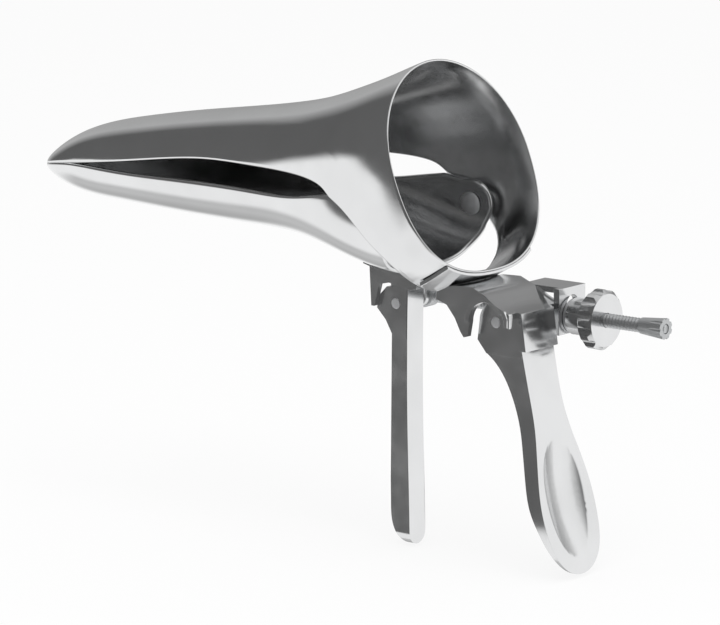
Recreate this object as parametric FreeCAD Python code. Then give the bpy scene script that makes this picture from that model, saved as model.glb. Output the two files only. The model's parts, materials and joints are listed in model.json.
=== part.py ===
import FreeCAD, Part
import math
import os
from FreeCAD import Vector

# Bivalve speculum, closed. Millimetres, +Z up, +X towards the bill tips,
# origin at the centre of the round mouth.

# driving sizes
MOUTH_R = 25.6          # outside of the mouth, under its rolled rim
MOUTH_PITCH = 21.0      # the mouth leans forward at the top, degrees
SHEET = 1.4             # gauge of the valves
RIM_OUT, RIM_IN, RIM_L = 0.12, 0.35, 1.2    # lip of the mouth: proud outside, proud inside, length
SECTION_POINTS = 20
PIVOT_X, PIVOT_Z = 12.5, -13.0
PIVOT_R = 1.6           # rivet shank
EAR_Y = 20.6            # outside faces of the lower valve's flat ears
EAR_R = 5.5
BOSS_R = 3.6
HEAD_DOME_R, DOME_H, DOME_R = 2.9, 0.6, 7.3
SEAT_Y = 19.0           # spot-face inside each ear, under the rivet's head
RUN = 0.05              # running clearance, on radius
GAP = 0.3               # clearance between curved faces of different bodies

# sections of a valve: plane centre x, z, lean, half width, top, bottom, squareness above and below
UPPER = [
    (0.0, 0.0, MOUTH_PITCH, MOUTH_R, MOUTH_R, MOUTH_R, 2.0, 2.45),
    (12.0, -1.8, 17.0, 25.3, 21.9, 29.0, 2.25, 2.95),
    (24.0, -3.6, 10.0, 23.7, 19.5, 26.0, 2.4, 2.6),
    (36.0, -5.0, 4.0, 20.6, 18.0, 18.0, 2.3, 2.3),
    (48.0, -6.0, 0.0, 18.4, 16.7, 15.0, 2.2, 2.2),
    (60.0, -6.3, 0.0, 17.4, 15.0, 14.0, 2.15, 2.15),
    (80.0, -6.9, 0.0, 17.0, 12.7, 12.0, 2.15, 2.15),
    (100.0, -8.1, 0.0, 16.2, 10.5, 10.0, 2.15, 2.15),
    (112.0, -9.2, 0.0, 14.4, 8.7, 8.0, 2.1, 2.1),
    (120.0, -10.1, 0.0, 11.3, 6.1, 5.0, 2.05, 2.05),
    (126.0, -10.9, 0.0, 7.2, 3.0, 2.4, 2.0, 2.0),
    (129.6, -11.3, 0.0, 2.6, 0.9, 0.8, 2.0, 2.0),
]
LOWER = [
    (0.0, -10.0, 0.0, EAR_Y, 10.0, 16.2, 2.9, 2.9),
    (12.0, -9.4, 0.0, EAR_Y, 10.0, 16.6, 2.9, 2.9),
    (24.0, -8.4, 0.0, 20.5, 10.0, 15.6, 2.7, 2.7),
    (36.0, -7.6, 0.0, 19.3, 10.0, 13.6, 2.5, 2.5),
    (48.0, -7.2, 0.0, 18.0, 9.0, 12.8, 2.3, 2.3),
    (60.0, -7.0, 0.0, 17.3, 8.0, 12.8, 2.2, 2.2),
    (80.0, -7.2, 0.0, 17.0, 7.0, 12.2, 2.15, 2.15),
    (100.0, -8.2, 0.0, 16.2, 6.0, 10.3, 2.15, 2.15),
    (112.0, -9.3, 0.0, 14.4, 5.0, 8.5, 2.1, 2.1),
    (120.0, -10.3, 0.0, 11.3, 4.0, 5.9, 2.05, 2.05),
    (126.0, -11.1, 0.0, 7.2, 2.4, 2.7, 2.0, 2.0),
    (129.6, -11.7, 0.0, 2.6, 0.8, 0.9, 2.0, 2.0),
]
# free edges of the two valves in side view, tip first
UPPER_EDGE = [(131.0, -11.35), (124.0, -10.0), (113.6, -8.35), (94.0, -5.8), (80.8, -3.9),
              (66.4, -2.4), (51.0, -2.3), (36.0, -2.5), (28.5, -3.2), (24.0, -4.6), (21.4, -6.6)]
ARM_FRONT = [(21.4, -6.6), (18.4, -8.2), (14.8, -10.8), (8.9, -16.6), (5.0, -20.4), (2.4, -24.4),
             (0.8, -28.0), (0.2, -32.5)]
LOWER_EDGE = [(131.0, -11.75), (124.0, -10.7), (115.5, -9.5), (94.0, -9.4), (73.5, -9.3),
              (51.0, -9.5), (36.0, -9.2), (28.6, -8.1), (21.0, -6.9)]
EAR_BACK = [(8.4, -17.2), (9.0, -20.0), (10.4, -23.0), (11.0, -28.0)]

# saddles and handles
BACK_X = -20.6          # fold of the rear saddle
REAR_HALF = [(-28.0, 6.1), (-33.0, 6.1), (-38.0, 6.1), (-49.0, 5.9), (-58.0, 6.4), (-66.0, 8.3), (-74.0, 9.9),
             (-82.0, 9.8), (-87.6, 8.0), (-91.0, 4.6), (-92.2, 0.0)]    # z, half width
FRONT_Y = 3.0           # half width of the front handle
HANDLE_SHEET = 1.3
CHEEK_PROUD = 0.1       # the lug plates stand this far proud of the flanges
REAR_WEB = [(-19.3, -29.0), (-20.3, -33.0), (-22.0, -40.3), (-23.9, -49.4), (-26.8, -60.3),
            (-29.3, -69.4), (-31.7, -78.7), (-33.8, -86.0), (-35.6, -93.4)]
REAR_FRONT = [(-35.0, -93.4), (-34.0, -90.2), (-31.9, -85.7), (-29.8, -81.4), (-27.6, -76.8),
              (-25.9, -71.2), (-23.8, -64.1), (-21.9, -58.4), (-19.4, -52.0), (-15.8, -45.7), (-11.9, -42.2)]
LUG_X, LUG_Z, LUG_R = -14.6, -34.6, 4.7
PIN_R, PIN_PROUD = 1.3, 0.1     # pins through the handle lugs, ground nearly flush
DISH = (-30.3, -74.5, 14.6, 26.0, 14.0, 1.7)   # thumb recess: x, z, lean, length, width, depth
SADDLE_T = 1.4
WALL_Y = 9.3            # outside of the rear saddle's side walls
PANEL_Y = 6.2
CRADLE_T, CRADLE_Y = 0.7, 15.8   # the cradle hugs the bottom of the ring
CRADLE_X0, CRADLE_X1 = -11.5, 0.1
# side views of the rear saddle: its top from front to back, its front claw, and the fold behind
SADDLE_TOP = [(0.0, -27.5), (-5.0, -26.6), (-10.0, -26.4), (-13.8, -27.9), (-17.8, -30.4), (BACK_X, -31.6)]
CLAW = [(0.0, -27.5), (0.6, -30.4), (-2.6, -31.4), (-5.0, -34.2), (-6.6, -37.2), (-7.6, -38.5), (-8.7, -38.2)]
PANEL = [(-18.4, -30.9), (-22.0, -31.8), (-23.3, -40.6), (-21.6, -40.6), (-18.4, -33.0)]
NOTCH_GAP, HOOP_W, HOOP_H = 0.5, 1.1, 0.6     # notch round the lug, and the raised hoop round the notch
FRONT_PIN_X, FRONT_PIN_Z = 17.5, -34.4
FRONT_X0, FRONT_X1 = 13.9, 19.2     # back and front faces of the front handle
FRONT_END_Z = -92.6
FRONT_WEB = [(FRONT_X0, -30.6), (FRONT_X0 + 0.3, -50.0), (FRONT_X0 + 0.2, -64.0), (FRONT_X0 - 0.2, -80.0),
             (FRONT_X0 - 0.4, FRONT_END_Z)]
FRONT_FACE = [(FRONT_X0 + 1.6, FRONT_END_Z + 0.1), (16.4, -91.6), (18.6, -88.0), (FRONT_X1, -83.0),
              (FRONT_X1, -70.0), (FRONT_X1 - 0.2, -57.0), (FRONT_X1 - 0.4, -44.0), (FRONT_X1 - 0.3, -30.6)]
FRONT_CHEEK = [(14.2, -30.6), (20.2, -30.6), (22.6, -33.0), (23.2, -36.0), (20.6, -38.6), (18.7, -41.8),
               (14.4, -42.6)]
FRONT_WALL = [(24.4, -24.0), (23.8, -35.4), (22.9, -35.4), (21.4, -30.0), (18.4, -29.3), (12.0, -30.4),
              (10.2, -30.0), (9.8, -25.0)]
FRONT_BRIDGE = [(24.4, -24.0), (24.4, -27.4), (10.2, -28.6), (9.8, -25.0)]
FRONT_CRADLE_Y = 6.8

# locking screw on the far side
ROD_Y, ROD_Z = -13.0, -34.9
ROD_X0, ROD_END_X = 21.0, -49.0
ROD_R, TENON_R = 1.7, 1.2
EYE_R, EYE_T = 3.0, 3.6
ANCHOR_R = 1.2
STOP_R0, STOP_R1, STOP_L = 1.9, 2.5, 6.6      # the stop flares towards the screw's end
PLATE_X, PLATE_T = -22.4, 1.6                 # rear face of the guide plate
PLATE_TOP, PLATE_LOW = -28.0, -39.0
SLOT_UP, SLOT_DOWN = 4.9, 3.2                 # slot ends above and below the screw's axis
WASHER_R, WASHER_T = 4.0, 0.9
NECK_R, NECK_L = 4.4, 4.8
HEAD_R, HEAD_L = 7.1, 4.0
LOBES = 12


def spline(points):
    curve = Part.BSplineCurve()
    curve.interpolate([Vector(*p) for p in points])
    return curve.toShape()


def section(x, z, lean, width, top, bottom, above, below, less=0.0):
    """One closed section across a valve, as a single smooth edge."""
    a, width, n = math.radians(lean), width - less, SECTION_POINTS
    pts = []
    for i in range(n):
        t = 2 * math.pi * i / n - math.pi / 2
        c, s = math.cos(t), math.sin(t)
        high, power = (top - less, above) if s > 0 else (bottom - less, below)
        y = width * math.copysign(abs(c) ** (2 / power), c)
        h = high * math.copysign(abs(s) ** (2 / power), s)
        pts.append(Vector(x + h * math.sin(a), y, z + h * math.cos(a)))
    curve = Part.BSplineCurve()
    curve.interpolate(Points=pts, PeriodicFlag=True, Parameters=[i / n for i in range(n + 1)])
    return Part.Wire(curve.toShape())


def body(rows, less=0.0):
    return Part.makeLoft([section(*row, less=less) for row in rows], True, False)


def side(outline, y0, y1):
    """A side-view outline, given as edges, thickened from y0 to y1."""
    face = Part.Face(Part.Wire(Part.__sortEdges__(outline)))
    face.translate(Vector(0, y0, 0))
    return face.extrude(Vector(0, y1 - y0, 0))


def xz(points):
    return [(x, 0, z) for x, z in points]


def chain(points):
    pts = [Vector(x, 0, z) for x, z in points]
    return [Part.makeLine(a, b) for a, b in zip(pts, pts[1:])]


def ring(points):
    """The closed outline through the points."""
    return chain(points + points[:1])


def largest(shape):
    """The biggest solid of a shape, without the slivers that a cut leaves."""
    return max(shape.Solids, key=lambda s: s.Volume)


def ybar(x, z, r, y0, y1):
    return Part.makeCylinder(r, y1 - y0, Vector(x, y0, z), Vector(0, 1, 0))


def xbar(x0, x1, y, z, r):
    return Part.makeCylinder(r, x1 - x0, Vector(x0, y, z), Vector(1, 0, 0))


def box(x0, x1, y0, y1, z0, z1):
    return Part.makeBox(x1 - x0, y1 - y0, z1 - z0, Vector(x0, y0, z0))


def both(solid):
    """A piece and its mirror across the middle plane."""
    return [solid, solid.mirror(Vector(0, 0, 0), Vector(0, 1, 0))]


def front_view(halves, less=0.0):
    """A handle's outline seen from behind, from (z, half width) down to its rounded end, thickened along X."""
    right = [(h - less, z + (less if h == 0 else 0)) for z, h in halves[:-1]]
    end_z = halves[-1][0] + less
    top_z = halves[0][0]
    curve = Part.BSplineCurve()
    pts = [Vector(0, y, z) for y, z in right] + [Vector(0, 0, end_z)]
    pts += [Vector(0, -y, z) for y, z in right[::-1]]
    curve.interpolate(pts)
    wire = Part.Wire([curve.toShape(), Part.makeLine(Vector(0, -right[0][0], top_z), Vector(0, right[0][0], top_z))])
    face = Part.Face(wire)
    face.translate(Vector(-60, 0, 0))
    return face.extrude(Vector(120, 0, 0))


def mouth_axis():
    """Straight back out of the mouth."""
    a = math.radians(MOUTH_PITCH)
    return Vector(-math.cos(a), 0, math.sin(a))


def behind_mouth():
    """Everything behind the plane of the rim."""
    block = Part.makeBox(80, 120, 120, Vector(0, -60, -60))
    block.rotate(Vector(0, 0, 0), Vector(0, 0, 1), 180)
    block.rotate(Vector(0, 0, 0), Vector(0, 1, 0), MOUTH_PITCH)
    return block


def stretched(rows):
    """The rows with the mouth section carried back, so the rim can be trimmed flat."""
    a = mouth_axis() * 6.0
    first = rows[0]
    return [(a.x, a.z) + tuple(first[2:])] + rows


def lip():
    """The thickened edge of the mouth, as a plug."""
    slab = behind_mouth()
    slab.translate(mouth_axis() * -RIM_L)
    return body(stretched(UPPER), less=-RIM_OUT).common(slab.cut(behind_mouth()))


def nose(rows):
    """The hollow ends a sheet's thickness short of the tip."""
    row = rows[-1]
    return (row[0] - 1.2, row[1], row[2], SHEET + 1.2, SHEET + 0.4, SHEET + 0.4, 2.0, 2.0)


def upper_valve():
    rows = stretched(UPPER)
    away = side([spline(xz(UPPER_EDGE)), spline(xz(ARM_FRONT))]
                + chain([ARM_FRONT[-1], (ARM_FRONT[-1][0], -60.0), (140.0, -60.0),
                         (140.0, UPPER_EDGE[0][1]), UPPER_EDGE[0]]), -60, 60)
    wall = body(rows).cut(behind_mouth())
    skin = wall.cut(away).cut(body(rows[:-1] + [nose(rows)], less=SHEET))
    skin = skin.fuse(lip().cut(body(rows[:4], less=SHEET + RIM_IN)))
    for boss in both(ybar(PIVOT_X, PIVOT_Z, BOSS_R, EAR_Y + GAP, 30)):
        skin = skin.fuse(boss.common(wall))
    for hole in both(ybar(PIVOT_X, PIVOT_Z, PIVOT_R, 10, 40)):
        skin = skin.cut(hole)
    return skin


def lower_valve():
    ear_top = (PIVOT_X + 2.0, PIVOT_Z + EAR_R + 0.1)
    arc = Part.Arc(Vector(ear_top[0], 0, ear_top[1]), Vector(PIVOT_X - EAR_R, 0, PIVOT_Z),
                   Vector(EAR_BACK[0][0], 0, EAR_BACK[0][1])).toShape()
    away = side([spline(xz(LOWER_EDGE)), arc, spline(xz(EAR_BACK))]
                + chain([LOWER_EDGE[-1], ear_top])
                + chain([EAR_BACK[-1], (EAR_BACK[-1][0], -60.0), (-40.0, -60.0), (-40.0, 60.0),
                         (140.0, 60.0), (140.0, LOWER_EDGE[0][1]), LOWER_EDGE[0]]), -60, 60)
    skin = body(LOWER).cut(away).cut(body(LOWER[:-1] + [nose(LOWER)], less=SHEET))
    hole = ybar(PIVOT_X, PIVOT_Z, PIVOT_R + RUN, 10, 40)
    for cut in both(hole.fuse(ybar(PIVOT_X, PIVOT_Z, HEAD_DOME_R + GAP, 10, SEAT_Y))):
        skin = skin.cut(cut)
    return skin


def pivot_rivet():
    """One rivet: flush outside in the arm, a low dome inside the ear."""
    rows = stretched(UPPER)
    inner = SEAT_Y - RUN
    shank = ybar(PIVOT_X, PIVOT_Z, PIVOT_R, inner, 40).common(body(rows))
    ball = Part.makeSphere(DOME_R, Vector(PIVOT_X, inner + DOME_R - DOME_H, PIVOT_Z))
    dome = ball.common(ybar(PIVOT_X, PIVOT_Z, HEAD_DOME_R, inner - DOME_H - 1, inner))
    return shank.fuse(dome)


def straight_view(less=0.0):
    """The front handle's outline seen from behind: straight sides and a round end."""
    r, z = FRONT_Y - less, FRONT_END_Z + FRONT_Y
    return box(-60, 60, -r, r, z, -29.0).fuse(xbar(-60, 60, 0, z, r))


def handle(web, front, outer, inner, end_z):
    """A pressed channel: web behind, flanges forward, closed at its rounded end."""
    profile = [spline(xz(web)), spline(xz(front))] + chain([web[-1], front[0]]) + chain([front[-1], web[0]])
    solid = side(profile, -30, 30).common(outer)
    hollow = moved(side(profile, -30, 30), HANDLE_SHEET)
    hollow = hollow.fuse(moved(hollow, 2.5)).fuse(moved(hollow, 5.0))
    hollow = hollow.common(box(-60, 60, -30, 30, end_z + 2.4, 0))
    return solid.cut(hollow.common(inner)), solid


def moved(shape, dx):
    other = shape.copy()
    other.translate(Vector(dx, 0, 0))
    return other


def lens(x, z, lean, length, width, depth, more=0.0):
    """A shallow oval dish in a face through x, z; more makes the ball bigger all round."""
    r = ((length / 2) ** 2 + depth ** 2) / (2 * depth)
    ball = Part.makeSphere(r + more, Vector(-(r - depth), 0, 0))
    squeeze = FreeCAD.Matrix()
    squeeze.scale(1.0, width / length, 1.0)
    ball = ball.transformGeometry(squeeze)
    ball.rotate(Vector(0, 0, 0), Vector(0, 1, 0), lean)
    ball.translate(Vector(x, 0, z))
    return ball


def rear_handle():
    shell, solid = handle(REAR_WEB, REAR_FRONT, front_view(REAR_HALF), front_view(REAR_HALF, HANDLE_SHEET),
                          REAR_HALF[-1][0])
    half = REAR_HALF[0][1] + CHEEK_PROUD
    for y0 in (-half, half - HANDLE_SHEET):
        shell = shell.fuse(ybar(LUG_X, LUG_Z, LUG_R, y0, y0 + HANDLE_SHEET))
        cheek = side(chain([(LUG_X - LUG_R, LUG_Z), (LUG_X + LUG_R, LUG_Z), (-9.3, -39.2), (-11.9, -42.2),
                            (-22.2, -42.2), (-20.6, -34.2), (LUG_X - LUG_R, LUG_Z)]), y0, y0 + HANDLE_SHEET)
        shell = shell.fuse(cheek)
    shell = shell.cut(box(-40, 0, -half + HANDLE_SHEET, half - HANDLE_SHEET, -31.2, -20))
    x, z, lean, length, width, depth = DISH
    bulge = lens(x, z, lean, length, width, depth, HANDLE_SHEET).common(solid)
    shell = shell.fuse(bulge).cut(lens(x, z, lean, length, width, depth))
    return shell.cut(ybar(LUG_X, LUG_Z, PIN_R, -20, 20))


def front_handle():
    shell, _ = handle(FRONT_WEB, FRONT_FACE, straight_view(), straight_view(HANDLE_SHEET), FRONT_END_Z)
    half = FRONT_Y + CHEEK_PROUD
    for y0 in (-half, half - HANDLE_SHEET):
        shell = shell.fuse(side(ring(FRONT_CHEEK), y0, y0 + HANDLE_SHEET))
    return shell.cut(ybar(FRONT_PIN_X, FRONT_PIN_Z, PIN_R, -20, 20))


def rear_saddle():
    rows = stretched(UPPER)
    mouth = body(rows)
    cradle = body(rows, less=-CRADLE_T).common(
        box(CRADLE_X0, CRADLE_X1, -CRADLE_Y, CRADLE_Y, -40, -16))
    cradle = cradle.cut(behind_mouth())
    low = [(x, z - SADDLE_T) for x, z in SADDLE_TOP]
    plate = side(ring(SADDLE_TOP + low[::-1]), -WALL_Y, WALL_Y)
    panel = side(ring(PANEL), -PANEL_Y, PANEL_Y)
    n = LUG_R + NOTCH_GAP
    notch = ybar(LUG_X, LUG_Z, n, 0, 20)
    wall = side(ring(CLAW + [(LUG_X + n, LUG_Z), (LUG_X - n, LUG_Z), (BACK_X - 0.2, -35.0), (BACK_X - 0.2, -31.9)]
                     + SADDLE_TOP[:0:-1]), WALL_Y - SADDLE_T, WALL_Y).cut(notch)
    hoop = ybar(LUG_X, LUG_Z, n + HOOP_W, WALL_Y - 0.2, WALL_Y + HOOP_H).cut(notch)
    under = ring([(x, z + 0.3) for x, z in SADDLE_TOP] + [(BACK_X, LUG_Z), (0.0, LUG_Z)])
    hoop = hoop.common(side(under, 0, 20))
    tongue = box(LUG_X - 3.0, LUG_X + 3.0, -3.0, 3.0, LUG_Z - 2.6, -28.6)
    shape = cradle.fuse(plate).fuse(panel).fuse(tongue)
    for piece in both(wall) + both(hoop):
        shape = shape.fuse(piece)
    shape = shape.cut(mouth).cut(lip())
    return shape.cut(ybar(LUG_X, LUG_Z, PIN_R, -7, 7))


def front_saddle():
    cradle = body(LOWER, less=-SADDLE_T).common(
        box(FRONT_BRIDGE[2][0], FRONT_WALL[0][0], -FRONT_CRADLE_Y, FRONT_CRADLE_Y, -40, -21))
    near = FRONT_Y + CHEEK_PROUD + RUN
    wall = side(ring(FRONT_WALL), near, near + SADDLE_T)
    bridge = side(ring(FRONT_BRIDGE), -near - 0.1, near + 0.1)
    shape = cradle.fuse(bridge)
    for piece in both(wall):
        shape = shape.fuse(piece)
    inner = FRONT_Y - HANDLE_SHEET - RUN
    tongue = box(FRONT_PIN_X - 1.9, FRONT_PIN_X + 1.9, -inner, inner, FRONT_PIN_Z - 2.0, -27.4)
    shape = shape.fuse(tongue).cut(body(LOWER))
    return shape.cut(ybar(FRONT_PIN_X, FRONT_PIN_Z, PIN_R, -7, 7))


def cross_pin(x, z, half):
    return ybar(x, z, PIN_R, -half - PIN_PROUD, half + PIN_PROUD)


def anchor_lug():
    """Stub arm on the far side of the front saddle that carries the screw's eye."""
    inner = -(FRONT_Y + CHEEK_PROUD + RUN + SADDLE_T)
    outer = ROD_Y + EYE_T / 2 + 0.15
    web = box(ROD_X0 - 2.6, ROD_X0 + 2.6, outer, inner, -29.6, -28.0)
    ear = box(ROD_X0 - 2.6, ROD_X0 + 2.6, outer, outer + 1.6, ROD_Z, -28.0)
    ear = ear.fuse(ybar(ROD_X0, ROD_Z, 2.6, outer, outer + 1.6))
    return web.fuse(ear).cut(ybar(ROD_X0, ROD_Z, ANCHOR_R, -30, 0)).cut(body(LOWER, less=-SADDLE_T))


def anchor_pin():
    outer = ROD_Y + EYE_T / 2 + 0.15
    shank = ybar(ROD_X0, ROD_Z, ANCHOR_R, ROD_Y - EYE_T / 2 - 0.2, outer + 1.6)
    y = ROD_Y - EYE_T / 2 - 0.2
    r = 3.2
    cap = Part.makeSphere(r, Vector(ROD_X0, y - 1.1 + r, ROD_Z)).common(ybar(ROD_X0, ROD_Z, 2.2, y - 1.2, y))
    return shank.fuse(cap)


def threaded_rod():
    """The locking screw's rod with its flat eye; the thread itself is finer than this model."""
    rod = xbar(ROD_END_X, ROD_X0 - 1.0, ROD_Y, ROD_Z, ROD_R)
    rod = rod.cut(xbar(ROD_END_X, ROD_END_X + STOP_L, ROD_Y, ROD_Z, ROD_R).cut(
        xbar(ROD_END_X, ROD_END_X + STOP_L, ROD_Y, ROD_Z, TENON_R)))
    eye = ybar(ROD_X0, ROD_Z, EYE_R, ROD_Y - EYE_T / 2, ROD_Y + EYE_T / 2)
    return rod.fuse(eye).cut(ybar(ROD_X0, ROD_Z, ANCHOR_R + RUN, ROD_Y - EYE_T, ROD_Y + EYE_T))


def rod_stop():
    stop = Part.makeCone(STOP_R1, STOP_R0, STOP_L, Vector(ROD_END_X, ROD_Y, ROD_Z), Vector(1, 0, 0))
    for i in range(8):
        a = 2 * math.pi * i / 8
        y, z = ROD_Y + (STOP_R1 + 0.2) * math.cos(a), ROD_Z + (STOP_R1 + 0.2) * math.sin(a)
        stop = stop.cut(xbar(ROD_END_X - 1, ROD_END_X + STOP_L + 1, y, z, 0.55))
    return stop.cut(xbar(ROD_END_X - 1, ROD_END_X + STOP_L + 1, ROD_Y, ROD_Z, TENON_R))


def rod_guide():
    """Bracket on the rear saddle: a slotted plate for the rod and a shelf over it."""
    y0, y1 = ROD_Y - 5.0, -WALL_Y
    back = box(PLATE_X, PLATE_X + PLATE_T, y0, y1 + 1.6, PLATE_LOW, PLATE_TOP)
    corner = ybox_round(PLATE_X, PLATE_T, y0, PLATE_LOW)
    shelf = box(PLATE_X, -10.6, y0, y1, PLATE_TOP - SADDLE_T, PLATE_TOP)
    w = ROD_R + 0.4
    x0, x1 = PLATE_X - 1, PLATE_X + PLATE_T + 1
    up, down = ROD_Z + SLOT_UP - w, ROD_Z - SLOT_DOWN + w
    slot = box(x0, x1, ROD_Y - w, ROD_Y + w, down, up)
    slot = slot.fuse(xbar(x0, x1, ROD_Y, down, w)).fuse(xbar(x0, x1, ROD_Y, up, w))
    return back.cut(corner).fuse(shelf).cut(slot)


def ybox_round(x, thick, y, z, r=3.0):
    """What comes off a plate's lower outer corner to round it."""
    square = box(x - 1, x + thick + 1, y - 0.1, y + r, z - 0.1, z + r)
    return square.cut(xbar(x - 2, x + thick + 2, y + r, z + r, r))


def nut_washer():
    x = PLATE_X - 0.12
    return xbar(x - WASHER_T, x, ROD_Y, ROD_Z, WASHER_R).cut(xbar(x - 5, x + 5, ROD_Y, ROD_Z, ROD_R + RUN))


def thumb_nut():
    x = PLATE_X - 0.12 - WASHER_T - 0.1
    neck = xbar(x - NECK_L, x, ROD_Y, ROD_Z, NECK_R)
    back = x - NECK_L - HEAD_L
    head = xbar(back, back + HEAD_L, ROD_Y, ROD_Z, HEAD_R)
    for way, x0 in ((1, back), (-1, back + HEAD_L)):
        cone = Part.makeCone(HEAD_R - 0.9, HEAD_R - 0.9 + HEAD_L, HEAD_L, Vector(x0, ROD_Y, ROD_Z), Vector(way, 0, 0))
        head = head.common(cone)
    for i in range(LOBES):
        a = 2 * math.pi * (i + 0.5) / LOBES
        y, z = ROD_Y + (HEAD_R + 0.7) * math.cos(a), ROD_Z + (HEAD_R + 0.7) * math.sin(a)
        head = head.cut(xbar(back - 1, back + HEAD_L + 1, y, z, 1.5))
    return neck.fuse(head).cut(xbar(back - 5, x + 5, ROD_Y, ROD_Z, ROD_R + RUN))


def main():
    os.makedirs("parts", exist_ok=True)
    near, far = both(pivot_rivet())
    saddle = rear_saddle()
    parts = {
        "upper_valve": upper_valve(), "lower_valve": lower_valve(), "near_rivet": near, "far_rivet": far,
        "rear_saddle": saddle, "rear_handle": largest(rear_handle().cut(saddle)),
        "rear_pin": cross_pin(LUG_X, LUG_Z, REAR_HALF[0][1] + CHEEK_PROUD),
        "front_saddle": front_saddle(), "front_handle": front_handle(),
        "front_pin": cross_pin(FRONT_PIN_X, FRONT_PIN_Z, FRONT_Y + CHEEK_PROUD),
        "anchor_lug": anchor_lug(), "anchor_pin": anchor_pin(), "threaded_rod": threaded_rod(),
        "rod_stop": rod_stop(), "rod_guide": rod_guide().cut(saddle), "nut_washer": nut_washer(), "thumb_nut": thumb_nut(),
    }
    for name, shape in parts.items():
        print(name, shape.isValid(), len(shape.Solids), round(shape.Volume, 1))
        shape.exportStep("parts/%s.step" % name)


main()
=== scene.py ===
import json
import math

import bmesh
import bpy
import numpy as np
from mathutils import Matrix, Vector

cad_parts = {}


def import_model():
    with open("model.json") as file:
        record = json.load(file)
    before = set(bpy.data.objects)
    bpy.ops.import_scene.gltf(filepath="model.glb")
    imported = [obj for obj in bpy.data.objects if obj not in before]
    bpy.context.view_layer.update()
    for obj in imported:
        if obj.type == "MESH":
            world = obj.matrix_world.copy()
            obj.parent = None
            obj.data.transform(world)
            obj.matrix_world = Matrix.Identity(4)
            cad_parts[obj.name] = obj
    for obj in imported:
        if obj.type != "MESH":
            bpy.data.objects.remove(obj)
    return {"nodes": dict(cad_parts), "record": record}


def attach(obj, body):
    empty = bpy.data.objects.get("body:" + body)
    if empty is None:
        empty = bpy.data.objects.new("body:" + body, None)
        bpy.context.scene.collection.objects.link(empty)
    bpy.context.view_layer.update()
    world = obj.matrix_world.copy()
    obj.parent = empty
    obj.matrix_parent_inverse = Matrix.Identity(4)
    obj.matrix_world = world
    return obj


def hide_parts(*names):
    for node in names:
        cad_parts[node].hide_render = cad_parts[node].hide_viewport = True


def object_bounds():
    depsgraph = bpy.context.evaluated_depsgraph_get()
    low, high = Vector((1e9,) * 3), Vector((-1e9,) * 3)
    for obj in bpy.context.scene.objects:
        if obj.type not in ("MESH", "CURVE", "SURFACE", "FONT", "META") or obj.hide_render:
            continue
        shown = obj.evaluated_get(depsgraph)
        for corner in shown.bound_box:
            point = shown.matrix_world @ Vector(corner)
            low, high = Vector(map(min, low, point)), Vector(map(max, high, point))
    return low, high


bl_info = {
    "name": "Bivalve Speculum",
    "version": (1, 0, 0),
    "blender": (4, 5, 0),
    "location": "View3D > Sidebar > Speculum",
    "description": "Polished steel speculum with hinged bills, squeeze handles and a locking screw",
    "category": "Add Mesh",
}

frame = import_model()
CAD_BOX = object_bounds()
MM = 0.001
JOINTS = {joint["name"]: joint for joint in frame["record"]["behaviour"]["joints"]}
HINGE = JOINTS["blade_hinge"]["pos_m"]
SWING = JOINTS["rod_swing"]["pos_m"]

# The valves, in mm
TIP_X, MOUTH_BACK_X = 129.6, -5.0
# sections of a valve: plane centre x, z, lean, half width, top, bottom, squareness above and below
UPPER_SECTIONS = [
    (-5.6, 2.15, 21.0, 25.6, 25.6, 25.6, 2.0, 2.45),
    (0.0, 0.0, 21.0, 25.6, 25.6, 25.6, 2.0, 2.45),
    (12.0, -1.8, 17.0, 24.6, 22.6, 29.0, 2.15, 2.85),
    (24.0, -3.6, 10.0, 22.5, 20.3, 25.4, 2.25, 2.5),
    (36.0, -5.0, 4.0, 20.2, 18.2, 18.4, 2.3, 2.3),
    (48.0, -6.0, 0.0, 18.4, 16.7, 15.0, 2.2, 2.2),
    (60.0, -6.3, 0.0, 17.4, 15.0, 14.0, 2.15, 2.15),
    (80.0, -6.9, 0.0, 17.0, 12.7, 12.0, 2.15, 2.15),
    (100.0, -8.1, 0.0, 16.2, 10.5, 10.0, 2.15, 2.15),
    (112.0, -9.2, 0.0, 14.4, 8.7, 8.0, 2.1, 2.1),
    (120.0, -10.1, 0.0, 11.3, 6.1, 5.0, 2.05, 2.05),
    (126.0, -10.9, 0.0, 7.2, 3.0, 2.4, 2.0, 2.0),
    (129.6, -11.3, 0.0, 2.6, 0.9, 0.8, 2.0, 2.0),
]
LOWER_SECTIONS = [
    (0.0, -10.0, 0.0, 20.6, 10.0, 16.2, 2.9, 2.9),
    (12.0, -9.4, 0.0, 20.6, 10.0, 16.6, 2.9, 2.9),
    (24.0, -8.4, 0.0, 20.5, 10.0, 15.6, 2.7, 2.7),
    (36.0, -7.6, 0.0, 19.3, 10.0, 13.6, 2.5, 2.5),
    (48.0, -7.2, 0.0, 18.0, 9.0, 12.8, 2.3, 2.3),
    (60.0, -7.0, 0.0, 17.3, 8.0, 12.8, 2.2, 2.2),
    (80.0, -7.2, 0.0, 17.0, 7.0, 12.2, 2.15, 2.15),
    (100.0, -8.2, 0.0, 16.2, 6.0, 10.3, 2.15, 2.15),
    (112.0, -9.3, 0.0, 14.4, 5.0, 8.5, 2.1, 2.1),
    (120.0, -10.3, 0.0, 11.3, 4.0, 5.9, 2.05, 2.05),
    (126.0, -11.1, 0.0, 7.2, 2.4, 2.7, 2.0, 2.0),
    (129.6, -11.7, 0.0, 2.6, 0.8, 0.9, 2.0, 2.0),
]
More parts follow.
